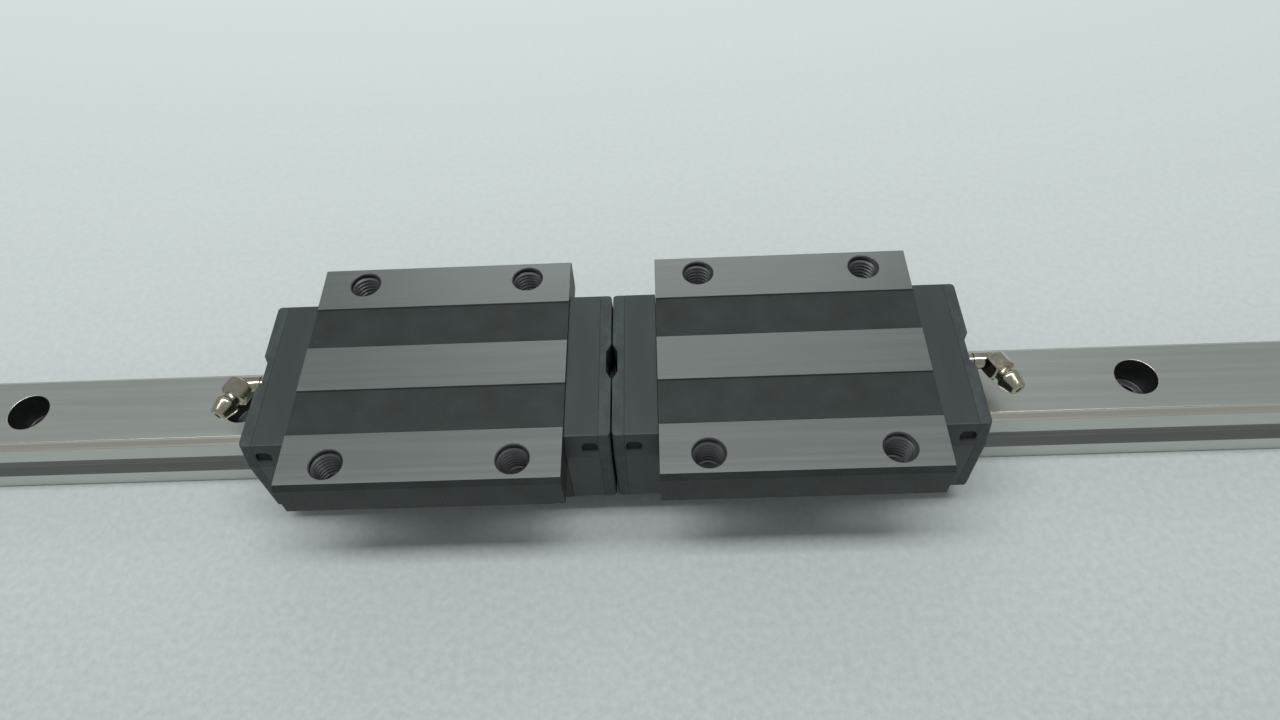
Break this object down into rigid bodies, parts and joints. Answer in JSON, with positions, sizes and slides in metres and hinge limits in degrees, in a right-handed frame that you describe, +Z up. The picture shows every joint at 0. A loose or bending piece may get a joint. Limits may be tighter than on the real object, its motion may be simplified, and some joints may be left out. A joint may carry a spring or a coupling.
{
  "type": "linear guide",
  "caption": "Profile rail with flanged recirculating-ball carriages butted end to end, ground top strips, plastic end caps and elbow grease nipples.",
  "frame": {"origin": "middle of the rail's underside", "axes": "+X along the rail, +Z up through the carriages' tops, +Y to the side away from the grease nipples' heads"},
  "size_m": [0.45, 0.07, 0.036],
  "materials": {
    "rail_steel": "ground",
    "block_steel": "dark oxide with ground top strips",
    "cap_plastic": "moulded",
    "plate_plastic": "moulded",
    "seal_rubber": "moulded",
    "retainer_plastic": "moulded",
    "ball_steel": "polished",
    "screw_steel": "black oxide",
    "nipple_nickel": "nickel plated",
    "spring_steel": "drawn wire"
  },
  "bodies": {
    "rail": {"rail": "rail_steel"},
    "left_carriage": {"left_block": "block_steel", "left_outer_end_cap": "cap_plastic", "left_outer_end_seal": "seal_rubber", "left_outer_return_plate": "plate_plastic", "left_outer_front_upper_screw": "screw_steel", "left_outer_front_lower_screw": "screw_steel", "left_outer_back_upper_screw": "screw_steel", "left_outer_back_lower_screw": "screw_steel", "left_inner_end_cap": "cap_plastic", "left_inner_end_seal": "seal_rubber", "left_inner_return_plate": "plate_plastic", "left_inner_front_upper_screw": "screw_steel", "left_inner_front_lower_screw": "screw_steel", "left_inner_back_upper_screw": "screw_steel", "left_inner_back_lower_screw": "screw_steel", "left_upper_ball_retainer": "retainer_plastic", "left_front_lower_ball_retainer": "retainer_plastic", "left_front_bottom_seal": "seal_rubber", "left_front_upper_ball_row": "ball_steel", "left_front_lower_ball_row": "ball_steel", "left_back_lower_ball_retainer": "retainer_plastic", "left_back_bottom_seal": "seal_rubber", "left_back_upper_ball_row": "ball_steel", "left_back_lower_ball_row": "ball_steel", "left_port_plug": "screw_steel", "left_grease_nipple": "nipple_nickel", "left_nipple_spring": "spring_steel"},
    "left_check_ball": {"left_nipple_check_ball": "ball_steel"},
    "right_carriage": {"right_block": "block_steel", "right_outer_end_cap": "cap_plastic", "right_outer_end_seal": "seal_rubber", "right_outer_return_plate": "plate_plastic", "right_outer_front_upper_screw": "screw_steel", "right_outer_front_lower_screw": "screw_steel", "right_outer_back_upper_screw": "screw_steel", "right_outer_back_lower_screw": "screw_steel", "right_inner_end_cap": "cap_plastic", "right_inner_end_seal": "seal_rubber", "right_inner_return_plate": "plate_plastic", "right_inner_front_upper_screw": "screw_steel", "right_inner_front_lower_screw": "screw_steel", "right_inner_back_upper_screw": "screw_steel", "right_inner_back_lower_screw": "screw_steel", "right_upper_ball_retainer": "retainer_plastic", "right_front_lower_ball_retainer": "retainer_plastic", "right_front_bottom_seal": "seal_rubber", "right_front_upper_ball_row": "ball_steel", "right_front_lower_ball_row": "ball_steel", "right_back_lower_ball_retainer": "retainer_plastic", "right_back_bottom_seal": "seal_rubber", "right_back_upper_ball_row": "ball_steel", "right_back_lower_ball_row": "ball_steel", "right_port_plug": "screw_steel", "right_grease_nipple": "nipple_nickel", "right_nipple_spring": "spring_steel"},
    "right_check_ball": {"right_nipple_check_ball": "ball_steel"}
  },
  "joints": [
    {"name": "left_carriage_slide", "type": "slide", "parent": "rail", "child": "left_carriage", "axis": [1, 0, 0], "range_m": [-0.145, 0]},
    {"name": "right_carriage_slide", "type": "slide", "parent": "rail", "child": "right_carriage", "axis": [1, 0, 0], "range_m": [0, 0.1216]},
    {"name": "left_check_ball_press", "type": "slide", "parent": "left_carriage", "child": "left_check_ball", "axis": [0.4226, 0.9063, 0], "range_m": [0, 0.0005], "stiffness_N_per_m": 150, "springref_m": -0.001},
    {"name": "right_check_ball_press", "type": "slide", "parent": "right_carriage", "child": "right_check_ball", "axis": [-0.4226, 0.9063, 0], "range_m": [0, 0.0005], "stiffness_N_per_m": 150, "springref_m": -0.001}
  ]
}
